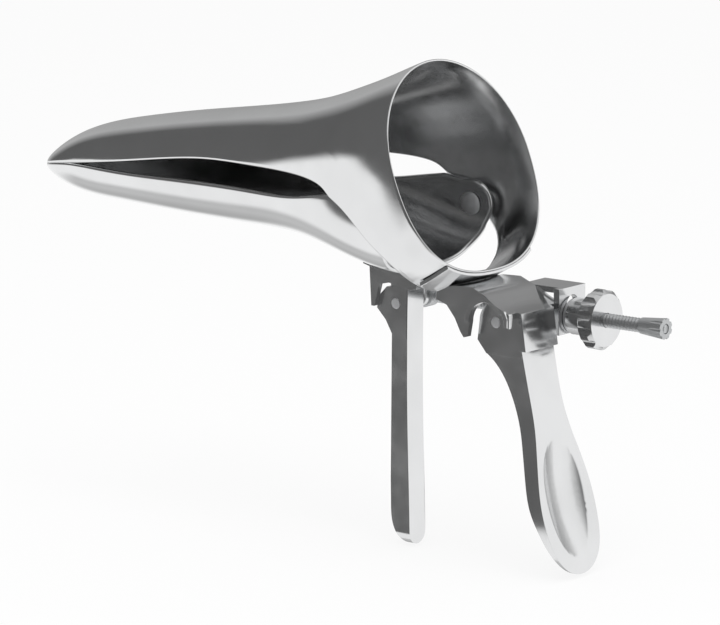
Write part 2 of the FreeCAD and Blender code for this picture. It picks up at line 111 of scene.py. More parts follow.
# free edges of the valves in side view, x and z
UPPER_EDGE = [(131.0, -11.35), (124.0, -10.0), (113.6, -8.35), (94.0, -5.8), (80.8, -3.9),
              (66.4, -2.4), (51.0, -2.3), (36.0, -2.5), (28.5, -3.2), (24.0, -4.6), (21.4, -6.6)]
ARM_FRONT = [(21.4, -6.6), (18.4, -8.2), (14.8, -10.8), (8.9, -16.6), (5.0, -20.4), (2.4, -24.4),
             (0.8, -28.0), (0.2, -32.5)]
LOWER_EDGE = [(131.0, -11.75), (124.0, -10.7), (115.5, -9.5), (94.0, -9.4), (73.5, -9.3),
              (51.0, -9.5), (36.0, -9.2), (28.6, -8.1), (21.0, -6.9)]
EAR_BACK = [(8.4, -17.2), (9.0, -20.0), (10.4, -23.0), (11.0, -28.0)]
EAR_R = 5.5
EAR_START, EAR_END = 68.0, 203.0     # the ear's arc about the hinge, degrees
EAR_FADE = 26.0                      # length in which the stations turn from the ear's back to upright
COLUMNS = 46                         # across half a valve
ARM_STEP = 1.2                       # between stations down the front of the arm
LEAST_STEP = 0.12                    # between sections where the edge runs nearly along one
RING_ROWS = 18                       # closed rows from the foot of the arms to the mouth
RIM_ROWS = 12                        # the last of them, which thin towards the rim
EDGE_BAND = 12.0                     # beside the free edge, where the columns close up
SHALLOW, DEEP, THINNEST = 0.4, 3.0, 0.25     # the sheet thins where a bill's tip gets shallow
LIP_ANGLES, LIP_BULGE = (30, 60, 90, 120, 150), 0.8

# The bosses and rivets, in m
BOSS_Y, BOSS_L, BOSS_BREAK = 0.0209, 0.0016, 0.0002
ARM_LEAN, UNDER_ARM = 45, 0.0003     # the boss is cut off this far beyond the hinge, square to the arm's edge
RIVET_Y = 0.01895
RIVET_HEAD = [(0.0002, -0.0006), (0.0012, -0.00052), (0.0021, -0.00032), (0.0028, -0.00008), (0.0029, 0.0)]
RIVET_SEAT, RIVET_L = 0.00002, 0.0018

# Pieces that keep their CAD shape with broken edges: body, slot and width of the broken edge in m
POLISHED = (
    ("rear_saddle", "upper", "handle_steel", 0.0005),
    ("rear_handle", "upper", "handle_steel", 0.0004),
    ("front_saddle", "lower", "handle_steel", 0.0004),
    ("front_handle", "lower", "handle_steel", 0.0004),
    ("anchor_lug", "lower", "handle_steel", 0.0003),
    ("rod_guide", "upper", "handle_steel", 0.0004),
    ("rear_pin", "upper", "pin_steel", 0.0002),
    ("front_pin", "lower", "pin_steel", 0.0002),
    ("anchor_pin", "lower", "pin_steel", 0.0002),
)
# rear edge of the saddle's lug block: x, half width, lowest height of its top, and the plate's height there
TONGUE_X, TONGUE_Y, TONGUE_LOW, PLATE_Z = -0.0176, 0.003, -0.0305, -0.03029
TOUCH = 2e-5

# The screw, in m
THREAD_BACK, THREAD_FRONT, THREAD_R = -0.0424, 0.0195, 0.0017
EYE_OUTLINE = [(0.00125, -0.0018), (0.0027, -0.0018), (0.0030, -0.0015), (0.0030, 0.0015), (0.0027, 0.0018),
               (0.00125, 0.0018), (0.00125, -0.0018)]
TENON_OUTLINE = [(0.0012, 0.0), (0.0012, 0.0068), (0.0009, 0.0071)]
TENON_SUNK = 0.0005

# The stage: floor and lamps in m, angles in degrees
FLOOR_BELOW, FLOOR_HALF = 0.0005, 6.0
LAMPS = (("key", (-0.1, 0.3, 1.1), 0.9, 1.0), ("fill", (-1.0, 0.2, 0.5), 0.7, 0.5))
LAMP_AIM = (0.03, 0, -0.03)
IMAGE_SIZE, ORIGIN_PIXEL, SENSOR = (720.0, 625.0), (462.4, 164.8), 36.0
CAMERA_AZIMUTH, CAMERA_HEIGHT, CAMERA_AWAY = 52, 9, 1.0
# The studio in reflections, by the angle turned from the camera's left: how light its walls are,
# how high its pale table reaches, as half of one plus the sine of that height, and how light the table is
WALLS = [(-180, 1.0), (-162, 0.95), (-151, 0.5), (-140, 0.13), (-100, 0.10), (-75, 0.13), (-45, 0.12),
         (-10, 0.13), (48, 0.12), (66, 0.48), (80, 0.42), (100, 0.22), (125, 0.32), (150, 0.62), (163, 1.0),
         (180, 1.0)]
TABLE_EDGE = [(-180, 0.24), (-130, 0.2), (-100, 0.12), (-62, 0.03), (-44, 0.12), (-22, 0.2), (-8, 0.37),
              (3, 0.54), (18, 0.54), (32, 0.49), (60, 0.44), (90, 0.40), (130, 0.28), (180, 0.24)]
TABLE_TONE = [(-180, 1.0), (-120, 0.8), (-95, 0.35), (-60, 0.28), (-40, 0.8), (-20, 1.0), (20, 1.0),
              (34, 0.6), (50, 0.62), (68, 0.5), (96, 0.3), (118, 0.8), (180, 1.0)]
CEILING = 0.62


class SPEC_PG_valves(bpy.types.PropertyGroup):
    """Sizes of the two bills"""
    sheet: bpy.props.FloatProperty(name="Sheet", description="Gauge of the pressed steel", default=0.0014,
                                   min=0.0005, unit="LENGTH")
    rim: bpy.props.FloatProperty(name="Rim", description="Thickness at the rounded rim of the mouth",
                                 default=0.0005, min=0.0002, unit="LENGTH")
    boss: bpy.props.FloatProperty(name="Boss", description="Radius of the boss between arm and ear",
                                  default=0.0036, unit="LENGTH")
    rivet: bpy.props.FloatProperty(name="Rivet", description="Radius of the hinge rivet", default=0.0016,
                                   unit="LENGTH")


class SPEC_PG_screw(bpy.types.PropertyGroup):
    """Sizes of the locking screw"""
    pitch: bpy.props.FloatProperty(name="Pitch", description="Distance between thread crests", default=0.0009,
                                   min=0.0003, unit="LENGTH")
    depth: bpy.props.FloatProperty(name="Thread depth", description="Depth of the thread", default=0.00024,
                                   unit="LENGTH")


class SPEC_PG_finish(bpy.types.PropertyGroup):
    """Colours and polish"""
    steel: bpy.props.FloatVectorProperty(name="Steel", description="Colour of the polished steel",
                                         default=(0.80, 0.805, 0.81), size=3, subtype="COLOR", min=0, max=1)
    screw: bpy.props.FloatVectorProperty(name="Screw", description="Colour of the screw's darker steel",
                                         default=(0.46, 0.465, 0.47), size=3, subtype="COLOR", min=0, max=1)
    satin: bpy.props.FloatProperty(name="Satin", description="Roughness of the satin inside of the bills",
                                   default=0.2, min=0.02, max=1)
    polish: bpy.props.FloatProperty(name="Polish", description="Roughness of the mirror polish", default=0.11,
                                    min=0.01, max=0.6)


class SPEC_PG_stage(bpy.types.PropertyGroup):
    """Floor and light"""
    floor: bpy.props.FloatVectorProperty(name="Floor", description="Colour of the floor",
                                         default=(0.93, 0.93, 0.93), size=3, subtype="COLOR", min=0, max=1)
    lens: bpy.props.FloatProperty(name="Focal length", description="Focal length of the camera, in mm",
                                  default=215.0, min=20)
    key: bpy.props.FloatProperty(name="Key light", description="Power of the overhead soft light",
                                 default=4.0, unit="POWER")


def natural(ts, values):
    """A natural cubic spline through the values at ts."""
    t, v = np.asarray(ts, float), np.asarray(values, float)
    h, n = np.diff(t), len(t)
    a, r = np.eye(n), np.zeros_like(v)
    for i in range(1, n - 1):
        a[i, i - 1:i + 2] = h[i - 1], 2 * (h[i - 1] + h[i]), h[i]
        r[i] = 6 * ((v[i + 1] - v[i]) / h[i] - (v[i] - v[i - 1]) / h[i - 1])
    m = np.linalg.solve(a, r)

    def at(q):
        q = np.atleast_1d(np.asarray(q, float))
        i = np.clip(np.searchsorted(t, q) - 1, 0, n - 2)
        x, y, k = t[i + 1] - q, q - t[i], h[i]
        w = [x / k, y / k, (x ** 3 / k - x * k) / 6, (y ** 3 / k - y * k) / 6]
        return sum(c[:, None] * p for c, p in zip(w, (v[i], v[i + 1], m[i], m[i + 1])))
    return at


def smooth_line(points, step=0.8):
    """Points about a step apart on a smooth curve through the given ones."""
    p = np.asarray(points, float)
    s = np.concatenate([[0], np.cumsum(np.linalg.norm(np.diff(p, axis=0), axis=1))])
    return natural(s, p)(np.linspace(0, s[-1], max(4, int(s[-1] / step) + 1)))


def spread(points, count):
    """The polyline at even spacing along its length."""
    s = np.concatenate([[0], np.cumsum(np.linalg.norm(np.diff(points, axis=0), axis=1))])
    q = np.linspace(0, s[-1], count)
    return np.stack([np.interp(q, s, points[:, i]) for i in range(points.shape[1])], 1)


def on_section(row, t):
    """Points at angles t, in degrees from the side, on the near half of a section."""
    x, z, lean, width, top, bottom, above, below = row.T
    a, c, s = np.radians(lean), np.cos(np.radians(t)), np.sin(np.radians(t))
    up = s > 0
    power, high = np.where(up, above, below), np.where(up, top, bottom)
    y = width * np.maximum(c, 0) ** (2 / power)
    h = high * np.sign(s) * np.abs(s) ** (2 / power)
    return np.stack([x + h * np.sin(a), y, z + h * np.cos(a)], 1)


def edge_angle(row, x, z):
    """Angle at which a section passes through a side-view point, or None beyond its bottom."""
    lean = math.radians(row[2])
    h = (x - row[0]) * math.sin(lean) + (z - row[1]) * math.cos(lean)
    q = h / row[4] if h > 0 else -h / row[5]
    if q >= 1:
        return None
    angle = math.degrees(math.asin(q ** ((row[6] if h > 0 else row[7]) / 2)))
    return angle if h > 0 else -angle


def upper_grid():
    """Near half of the upper valve from crest to edge, station by station from the tip back to the mouth."""
    rows = natural([r[0] for r in UPPER_SECTIONS], UPPER_SECTIONS)
    edge = np.concatenate([smooth_line(UPPER_EDGE), smooth_line(ARM_FRONT, ARM_STEP)[1:]])
    stations = []
    for x, z in edge:
        lo, hi = MOUTH_BACK_X, TIP_X
        for _ in range(40):
            u = (lo + hi) / 2
            r = rows(u)[0]
            a = math.radians(r[2])
            lo, hi = (u, hi) if (x - r[0]) * math.cos(a) - (z - r[1]) * math.sin(a) > 0 else (lo, u)
        if x > TIP_X:
            continue
        if stations:
            u = min(u, stations[-1][0] - LEAST_STEP)
        angle = edge_angle(rows(u)[0], x, z)
        if angle is None:
            break
        stations.append((u, angle))
    # the foot of the arm: the edge turns down to the keel within a millimetre
    last, angle = stations[-1]
    stations += [(last - 0.25 * k, angle - (90 + angle) * k / 4) for k in (1, 2, 3)]
    stations = [(TIP_X, stations[0][1])] + stations
    opened = len(stations)
    stations += [(u, -90.0) for u in np.linspace(last - 1.0, 0.0, RING_ROWS)]
    grid = []
    # angles close up at the side, where a section's height changes fastest with the angle
    v = np.linspace(1.0, -1.0, 1501)
    t = 90.0 * np.sign(v) * np.abs(v) ** 1.5
    for u, angle in stations:
        line = on_section(np.repeat(rows(u), len(t), 0), t)
        s = np.concatenate([[0], np.cumsum(np.linalg.norm(np.diff(line, axis=0), axis=1))])
        edge_s = np.interp(-angle, -t, s)
        # columns keep their place over the crest and close up beside the free edge
        knee, even = max(0.5 * edge_s, edge_s - EDGE_BAND), np.linspace(0, s[-1], COLUMNS)
        q = np.where(even < knee, even, knee + (even - knee) * (edge_s - knee) / (s[-1] - knee))
        grid.append(np.stack([np.interp(q, s, line[:, i]) for i in range(3)], 1))
    tops = rows([u for u, _ in stations])[:, 4]
    return np.array(grid), opened, tops


def lower_grid():
    """Near half of the lower valve from keel to edge, station by station from the tip back to the ear."""
    rows = natural([r[0] for r in LOWER_SECTIONS], LOWER_SECTIONS)
    px, pz = HINGE[0] / MM, HINGE[2] / MM
    a = np.radians(np.linspace(EAR_START, EAR_END, 40))
    ear = np.stack([px + EAR_R * np.cos(a), pz + EAR_R * np.sin(a)], 1)
    edge = np.concatenate([smooth_line(LOWER_EDGE), ear, smooth_line(EAR_BACK, 0.4)[1:]])
    edge = spread(edge, 260)
    angle, kept = [], []
    for x, z in edge:
        if x > TIP_X:
            continue
        t = edge_angle(rows(x)[0], x, z)
        if t is None:
            break
        angle.append(t)
        kept.append(x)
    x, angle = np.array(kept), np.array(angle)
    corner = int(np.argmin(x))
    back_x = np.interp(np.linspace(-90, angle[corner], 300), angle[corner:][::-1], x[corner:][::-1])
    grid = []
    f = np.linspace(0, 1, 300)
    for j in range(corner + 1):
        fade = max(0.0, 1 - (x[j] - x[corner]) / EAR_FADE) ** 2
        along = x[j] + (back_x - x[corner]) * fade
        grid.append(spread(on_section(rows(along), -90 + f * (angle[j] + 90)), COLUMNS))
    return np.array(grid), rows(x[:corner + 1])[:, 5]


def mirrored(half):
    """The near half and its mirror, as one row from near edge to far edge."""
    return np.concatenate([half[:, ::-1], half[:, 1:] * (1, -1, 1)], 1)


def gauge(sheet, depths):
    """Thickness of the sheet in mm at each station."""
    return sheet / MM * np.clip((depths - SHALLOW) / DEEP, THINNEST, 1.0)


def unit(v):
    """Vectors brought to length one."""
    return v / np.maximum(np.linalg.norm(v, axis=-1, keepdims=True), 1e-12)


def shell(grid, thick, opened, out):
    """Vertices, faces and the indices of the inner faces of a sheet on the grid, with rounded free edges.

    Rows from opened on are closed rings, and out says whether the grid's middle faces up or down.
    """
    rows, cols = grid.shape[:2]
    du, dv = np.gradient(grid, axis=0), np.gradient(grid, axis=1)
    ring = np.arange(rows) >= opened
    wrap = grid[ring, 1] - grid[ring, -2]
    dv[ring, 0] = dv[ring, -1] = wrap
    du[ring, 0, 1] = du[ring, -1, 1] = 0
    n = unit(np.cross(du, dv))
    if (n[:, cols // 2, 2].mean() > 0) != (out > 0):
        n = -n
    inner = grid - n * thick[:, None, None]
    verts = np.concatenate([grid.reshape(-1, 3), inner.reshape(-1, 3)])
    half = rows * cols

    def at(j, c):
        return j * cols + (0 if ring[j] and c == cols - 1 else c)
    faces = []
    for j in range(rows - 1):
        for c in range(cols - 1):
            quad = [at(j, c), at(j + 1, c), at(j + 1, c + 1), at(j, c + 1)]
            faces += [quad, [i + half for i in quad[::-1]]]
    end = min(opened, rows - 1)
    loop = [(j, 0) for j in range(end + 1)]
    if opened >= rows:
        loop += [(rows - 1, c) for c in range(1, cols)]
        loop += [(j, cols - 1) for j in range(rows - 2, -1, -1)]
    else:
        loop += [(j, cols - 1) for j in range(end - 1, -1, -1)]
    loop += [(0, c) for c in range(cols - 2, 0, -1)]
    edges = [(loop, np.array([grid[j, min(max(c, 1), cols - 2)] for j, c in loop]))]
    if opened < rows:
        edges.append(([(rows - 1, c) for c in range(cols - 1)], grid[rows - 3, :cols - 1]))
    for loop, inward in edges:
        ids = [at(j, c) for j, c in loop]
        o, i_, k = verts[ids], verts[[i + half for i in ids]], len(ids)
        along = unit(np.roll(o, -1, 0) - np.roll(o, 1, 0))
        nn, mid, r = unit(o - i_), (o + i_) / 2, np.linalg.norm(o - i_, axis=1, keepdims=True) / 2
        side = unit(np.cross(along, nn))
        if (side * (o - inward)).sum() < 0:
            side = -side
        base = len(verts)
        steps = [math.radians(a) for a in LIP_ANGLES]
        strip = [mid + r * (math.cos(a) * nn + LIP_BULGE * math.sin(a) * side) for a in steps]
        verts = np.concatenate([verts] + strip)
        lines = [ids] + [[base + s * k + i for i in range(k)] for s in range(len(steps))]
        lines.append([i + half for i in ids])
        for a, b in zip(lines, lines[1:]):
            for i in range(k):
                m = (i + 1) % k
                faces.append([a[i], a[m], b[m], b[i]])
    faces = [f for f in faces if len(set(f)) > 2]
    return verts * MM, faces, [k for k, f in enumerate(faces) if half <= min(f) and max(f) < 2 * half]


def make_mesh(name, verts, faces, body, slot, material, flat=None, inner=(), satin_shaded_lining=None):
    """A smooth-shaded object riding on a body; its inner faces may have a finish of their own, which for the
    bills is satin darkened as painted shade.
    """
    mesh = bpy.data.meshes.new(name)
    mesh.from_pydata([tuple(v) for v in verts], [], faces)
    for k in inner:
        mesh.polygons[k].material_index = 1
    bm = bmesh.new()
    bm.from_mesh(mesh)
    loose = [v for v in bm.verts if not v.link_faces]
    bmesh.ops.delete(bm, geom=loose, context="VERTS")
    bmesh.ops.recalc_face_normals(bm, faces=bm.faces)
    bm.to_mesh(mesh)
    bm.free()
    mesh.polygons.foreach_set("use_smooth", [True] * len(mesh.polygons))
    mesh.materials.append(material)
    if satin_shaded_lining:
        mesh.materials.append(satin_shaded_lining)
    obj = bpy.data.objects.new(name, mesh)
    bpy.context.scene.collection.objects.link(obj)
    if flat:
        mesh.set_sharp_from_angle(angle=math.radians(flat))
    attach(obj, body)
    return obj


def lathe(profile, origin, axis, side, count=64, radius=None):
    """Vertices and faces of a profile of (radius, distance) turned about an axis.

    radius, where given, is a function of the profile's radius and the angle.
    """
    axis, side = Vector(axis).normalized(), Vector(side).normalized()
    up = axis.cross(side)
    verts, faces = [], []
    for r, d in profile:
        for i in range(count):
            a = 2 * math.pi * i / count
            rr = radius(r, a) if radius else r
            verts.append(Vector(origin) + axis * d + (side * math.cos(a) + up * math.sin(a)) * rr)
    for k in range(len(profile) - 1):
        for i in range(count):
            j = (i + 1) % count
            faces.append([k * count + i, k * count + j, (k + 1) * count + j, (k + 1) * count + i])
    if math.dist(profile[0], profile[-1]) > 1e-7:
        faces.append([i for i in range(count)][::-1])
        faces.append([(len(profile) - 1) * count + i for i in range(count)])
    return verts, faces


def joined(*parts):
    """One list of vertices and faces from several."""
    verts, faces = [], []
    for v, f in parts:
        n = len(verts)
        verts += [tuple(p) for p in v]
        faces += [[i + n for i in q] for q in f]
    return verts, faces


def metal(name, colour, rough, grain=0.35):
    """Polished metal: faint cloudy tone, uneven polish and fine hairlines."""
    mat = bpy.data.materials.get(name)
    if mat:
        return mat
    mat = bpy.data.materials.new(name)
    mat.use_nodes = True
    nodes, links = mat.node_tree.nodes, mat.node_tree.links
    shader = nodes["Principled BSDF"]
    shader.inputs["Metallic"].default_value = 1.0
    place = nodes.new("ShaderNodeTexCoord")

    def noise(scale, detail, stretch=None):
        tex = nodes.new("ShaderNodeTexNoise")
        tex.inputs["Scale"].default_value = scale
        tex.inputs["Detail"].default_value = detail
        if stretch:
            mapping = nodes.new("ShaderNodeMapping")
            mapping.inputs["Scale"].default_value = stretch
            links.new(place.outputs["Object"], mapping.inputs["Vector"])
            links.new(mapping.outputs["Vector"], tex.inputs["Vector"])
        else:
            links.new(place.outputs["Object"], tex.inputs["Vector"])
        return tex.outputs["Fac"]

    tone = nodes.new("ShaderNodeValToRGB")
    tone.color_ramp.elements[0].position, tone.color_ramp.elements[1].position = 0.35, 0.65
    tone.color_ramp.elements[0].color = tuple(c * 0.95 for c in colour) + (1,)
    tone.color_ramp.elements[1].color = tuple(colour) + (1,)
    links.new(noise(60.0, 3.0), tone.inputs["Fac"])
    links.new(tone.outputs["Color"], shader.inputs["Base Color"])
    uneven = nodes.new("ShaderNodeMapRange")
    uneven.inputs["From Min"].default_value, uneven.inputs["From Max"].default_value = 0.3, 0.7
    uneven.inputs["To Min"].default_value, uneven.inputs["To Max"].default_value = rough * 0.75, rough * 1.35
    links.new(noise(140.0, 5.0), uneven.inputs["Value"])
    links.new(uneven.outputs["Result"], shader.inputs["Roughness"])
    bump = nodes.new("ShaderNodeBump")
    bump.inputs["Strength"].default_value = grain * 0.1
    bump.inputs["Distance"].default_value = 0.00005
    links.new(noise(900.0, 4.0, (0.25, 1.0, 1.0)), bump.inputs["Height"])
    links.new(bump.outputs["Normal"], shader.inputs["Normal"])
    return mat


def finishes():
    """The polished outside, the satin inside with its colour darkened as painted shade, and the finishes of
    handles, pins, screw and nut.
    """
    f = bpy.context.scene.spec_finish
    steel, screw = tuple(f.steel), tuple(f.screw)
    return {
        "valve_steel": metal("polished_valve_steel", steel, f.polish),
        # the satin inside is rougher than the outside, and its colour, 0.8 of the steel, is painted shade in
        # the hollow of the bills
        "satin_painted_shade_inside": metal("satin_painted_shade_inside_steel", tuple(c * 0.8 for c in steel), f.satin, 0.1),
        "handle_steel": metal("polished_handle_steel", tuple(c * 0.98 for c in steel), f.polish * 1.3),
        "pin_steel": metal("pin_steel", tuple(c * 0.95 for c in steel), f.polish * 1.3),
        "screw_steel": metal("screw_steel", screw, f.polish * 3.0, 0.8),
        "nut_steel": metal("plated_nut_steel", steel, f.polish * 1.2, 0.3),
    }


def dress(node, slot):
    """A better material on a CAD node that keeps its own shape."""
    obj = frame["nodes"][node]
    for i in range(len(obj.material_slots)):
        obj.material_slots[i].material = finishes()[slot]
    if not obj.material_slots:
        obj.data.materials.append(finishes()[slot])


def press_tongue(bm):
    """Bring the top of the saddle's lug block down flush with the sloping plate."""
    for v in bm.verts:
        corner = abs(v.co.x - TONGUE_X) < TOUCH and abs(abs(v.co.y) - TONGUE_Y) < TOUCH
        if corner and v.co.z > TONGUE_LOW:
            v.co.z = PLATE_Z


def softened(node, body, slot, width, mend=None):
    """The shape of a CAD node with its sharp edges broken, as polishing leaves them."""
    source = frame["nodes"][node]
    bm = bmesh.new()
    bm.from_mesh(source.data)
    bm.transform(source.matrix_world)
    bmesh.ops.remove_doubles(bm, verts=bm.verts, dist=2e-6)
    if mend:
        mend(bm)
    bmesh.ops.dissolve_limit(bm, angle_limit=math.radians(1.0), verts=bm.verts, edges=bm.edges)
    mesh = bpy.data.meshes.new(node + "_soft")
    bm.to_mesh(mesh)
    bm.free()
    mesh.polygons.foreach_set("use_smooth", [True] * len(mesh.polygons))
    mesh.materials.append(finishes()[slot])
    obj = bpy.data.objects.new(node + "_soft", mesh)
    bpy.context.scene.collection.objects.link(obj)
    bevel = obj.modifiers.new("broken_edges", "BEVEL")
    bevel.width, bevel.segments, bevel.limit_method = width, 3, "ANGLE"
    bevel.angle_limit = math.radians(30.0)
    even = obj.modifiers.new("flat_faces", "WEIGHTED_NORMAL")
    even.weight, even.keep_sharp = 100, False
    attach(obj, body)
    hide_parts(node)


class SPEC_OT_upper_valve(bpy.types.Operator):
    """Make the upper valve with its round mouth, rounded edges and rivet bosses"""
    bl_idname = "speculum.upper_valve"
    bl_label = "Upper valve"

    def execute(self, context):
        v = context.scene.spec_valves
        half, opened, tops = upper_grid()
        thick = gauge(v.sheet, tops)
        thick[-RIM_ROWS:] += (v.rim - v.sheet) / MM * np.linspace(0, 1, RIM_ROWS) ** 2
        verts, faces, inner = shell(mirrored(half), thick, opened, 1)
        parts = [(verts, faces)]
        for way in (1, -1):
            def under_arm(r, a):
                ahead = math.cos(a - way * math.radians(ARM_LEAN))
                return r if ahead <= 0 else min(r, UNDER_ARM / max(ahead, 1e-6))
            outline = [(v.boss - BOSS_BREAK, 0), (v.boss, BOSS_BREAK), (v.boss, BOSS_L)]
            start = (HINGE[0], way * BOSS_Y, HINGE[2])
            parts.append(lathe(outline, start, (0, way, 0), (1, 0, 0), 48, under_arm))
        obj = make_mesh("upper_valve_shell", *joined(*parts), "upper", "valve_steel",
                        finishes()["valve_steel"], 50, inner, finishes()["satin_painted_shade_inside"])
        weld(obj)
        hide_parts("upper_valve")
        return {"FINISHED"}


def weld(obj):
    """Join points that coincide, such as the seam down the keel of the ring."""
    bm = bmesh.new()
    bm.from_mesh(obj.data)
    bmesh.ops.remove_doubles(bm, verts=bm.verts, dist=2e-6)
    bmesh.ops.recalc_face_normals(bm, faces=bm.faces)
    bm.to_mesh(obj.data)
    bm.free()


class SPEC_OT_lower_valve(bpy.types.Operator):
    """Make the lower valve with the flat ears that sit inside the arms"""
    bl_idname = "speculum.lower_valve"
    bl_label = "Lower valve"

    def execute(self, context):
        v = context.scene.spec_valves
        half, depths = lower_grid()
        grid = mirrored(half)
        verts, faces, inner = shell(grid, gauge(v.sheet, depths), len(grid), -1)
        obj = make_mesh("lower_valve_shell", verts, faces, "lower", "valve_steel",
                        finishes()["valve_steel"], 50, inner, finishes()["satin_painted_shade_inside"])
        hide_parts("lower_valve")
        return {"FINISHED"}


class SPEC_OT_rivets(bpy.types.Operator):
    """Make the two hinge rivets, flush outside and domed inside the ears"""
    bl_idname = "speculum.rivets"
    bl_label = "Hinge rivets"

    def execute(self, context):
        r = context.scene.spec_valves.rivet
        for name, way in (("near_rivet", 1), ("far_rivet", -1)):
            outline = RIVET_HEAD + [(r, RIVET_SEAT), (r, RIVET_L)]
            start = (HINGE[0], way * RIVET_Y, HINGE[2])
            verts, faces = lathe(outline, start, (0, way, 0), (1, 0, 0), 40)
            obj = make_mesh(name + "_turned", verts, faces, "upper", "pin_steel", finishes()["pin_steel"], 40)
            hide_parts(name)
        return {"FINISHED"}


class SPEC_OT_handles(bpy.types.Operator):
    """Finish the saddles, the handles and their pins"""
    bl_idname = "speculum.handles"
    bl_label = "Saddles and handles"

    def execute(self, context):
        for node, body, slot, width in POLISHED:
            softened(node, body, slot, width, press_tongue if node == "rear_saddle" else None)
        return {"FINISHED"}


def on_screw(x):
    """The point of the screw's centre line at x."""
    return Vector((x, SWING[1], SWING[2]))


class SPEC_OT_screw(bpy.types.Operator):
    """Cut the thread on the locking screw and finish its stop, washer and nut"""
    bl_idname = "speculum.screw"
    bl_label = "Locking screw"

    def execute(self, context):
        screw = context.scene.spec_screw
        ring, per_turn = 36, 8
        count = int((THREAD_FRONT - THREAD_BACK) / screw.pitch * per_turn)
        verts, faces = [], []
        for i in range(count + 1):
            x = THREAD_BACK + (THREAD_FRONT - THREAD_BACK) * i / count
            for k in range(ring):
                a = 2 * math.pi * k / ring
                phase = (x / screw.pitch - k / ring) % 1.0
                r = THREAD_R - screw.depth * (0.5 - 0.5 * math.cos(2 * math.pi * phase))
                verts.append(on_screw(x) + Vector((0, math.cos(a) * r, math.sin(a) * r)))
        for i in range(count):
            for k in range(ring):
                m = (k + 1) % ring
                faces.append([i * ring + k, i * ring + m, (i + 1) * ring + m, (i + 1) * ring + k])
        faces.append([k for k in range(ring)][::-1])
        faces.append([count * ring + k for k in range(ring)])
        eye = lathe(EYE_OUTLINE, on_screw(SWING[0]), (0, 1, 0), (1, 0, 0), 48)
        tenon = lathe(TENON_OUTLINE, on_screw(THREAD_BACK + TENON_SUNK), (-1, 0, 0), (0, 1, 0), 24)
        verts, faces = joined((verts, faces), eye, tenon)
        obj = make_mesh("threaded_rod_cut", verts, faces, "rod", "screw_steel", finishes()["screw_steel"], 50)
        weld(obj)
        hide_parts("threaded_rod")
        dress("rod_stop", "screw_steel")
        dress("nut_washer", "pin_steel")
        dress("thumb_nut", "nut_steel")
        return {"FINISHED"}


class SPEC_OT_stage(bpy.types.Operator):
    """Lay the floor, hang the lights and set the camera"""
    bl_idname = "speculum.stage"
    bl_label = "Stage"

    def execute(self, context):
        stage, scene = context.scene.spec_stage, context.scene
        scene.view_settings.view_transform = "Standard"
        low, s = CAD_BOX[0].z - FLOOR_BELOW, FLOOR_HALF
        mesh = bpy.data.meshes.new("floor")
        mesh.from_pydata([(-s, -s, low), (s, -s, low), (s, s, low), (-s, s, low)], [], [[0, 1, 2, 3]])
        floor = bpy.data.objects.new("floor", mesh)
        scene.collection.objects.link(floor)
        mesh.materials.append(floor_material(tuple(stage.floor)))
        floor.visible_glossy = False
        world(scene)
        for name, place, size, share in LAMPS:
            lamp = bpy.data.lights.new(name, "AREA")
            lamp.energy, lamp.size, lamp.shape = stage.key * share, size, "SQUARE"
            obj = bpy.data.objects.new(name, lamp)
            obj.location = place
            obj.visible_glossy = False
            obj.rotation_euler = (Vector(LAMP_AIM) - Vector(place)).to_track_quat("-Z", "Y").to_euler()
            scene.collection.objects.link(obj)
        camera(scene, stage.lens)
        return {"FINISHED"}


def camera(scene, lens):
    """The photograph's viewpoint: from behind, to the left and a little above."""
    az, el = math.radians(CAMERA_AZIMUTH), math.radians(CAMERA_HEIGHT)
    d = Vector((math.cos(az) * math.cos(el), -math.sin(az) * math.cos(el), -math.sin(el)))
    right = Vector((-math.sin(az), -math.cos(az), 0))
    up = right.cross(d)
    focal = lens / SENSOR * IMAGE_SIZE[0]
    across = (IMAGE_SIZE[0] / 2 - ORIGIN_PIXEL[0]) / focal
    down = (IMAGE_SIZE[1] / 2 - ORIGIN_PIXEL[1]) / focal
    aim = (d + right * across - up * down).normalized()
    data = bpy.data.cameras.new("camera")
    data.lens, data.sensor_width, data.sensor_fit = lens, SENSOR, "HORIZONTAL"
    data.clip_start, data.clip_end = 0.05, 30.0
    cam = bpy.data.objects.new("camera", data)
    side = aim.cross(up).normalized()
    rise = side.cross(aim)
    cam.matrix_world = Matrix((side, rise, -aim)).transposed().to_4x4()
    cam.location = -d * CAMERA_AWAY
    scene.collection.objects.link(cam)
    scene.camera = cam


def floor_material(colour):
    """Pale floor, white where the camera or a reflection sees it bare, with the object's soft shadow."""
    mat = bpy.data.materials.new("pale_floor")
    mat.use_nodes = True
    nodes, links = mat.node_tree.nodes, mat.node_tree.links
    shader = nodes["Principled BSDF"]
    shader.inputs["Base Color"].default_value = colour + (1,)
    shader.inputs["Roughness"].default_value = 0.9
    shader.inputs["Specular IOR Level"].default_value = 0.0
    path = nodes.new("ShaderNodeLightPath")
    glow = nodes.new("ShaderNodeEmission")
    glow.inputs["Color"].default_value = (1, 1, 1, 1)
    glow.inputs["Strength"].default_value = 1.0
    seen = nodes.new("ShaderNodeMath")
    seen.operation = "MAXIMUM"
    links.new(path.outputs["Is Camera Ray"], seen.inputs[0])
    links.new(path.outputs["Is Glossy Ray"], seen.inputs[1])
    mix = nodes.new("ShaderNodeMixShader")
    part = nodes.new("ShaderNodeMath")
    part.operation = "MULTIPLY"
    part.inputs[1].default_value = 0.85
    links.new(seen.outputs[0], part.inputs[0])
    links.new(part.outputs[0], mix.inputs["Fac"])
    links.new(shader.outputs["BSDF"], mix.inputs[1])
    links.new(glow.outputs["Emission"], mix.inputs[2])
    links.new(mix.outputs["Shader"], nodes["Material Output"].inputs["Surface"])
    return mat


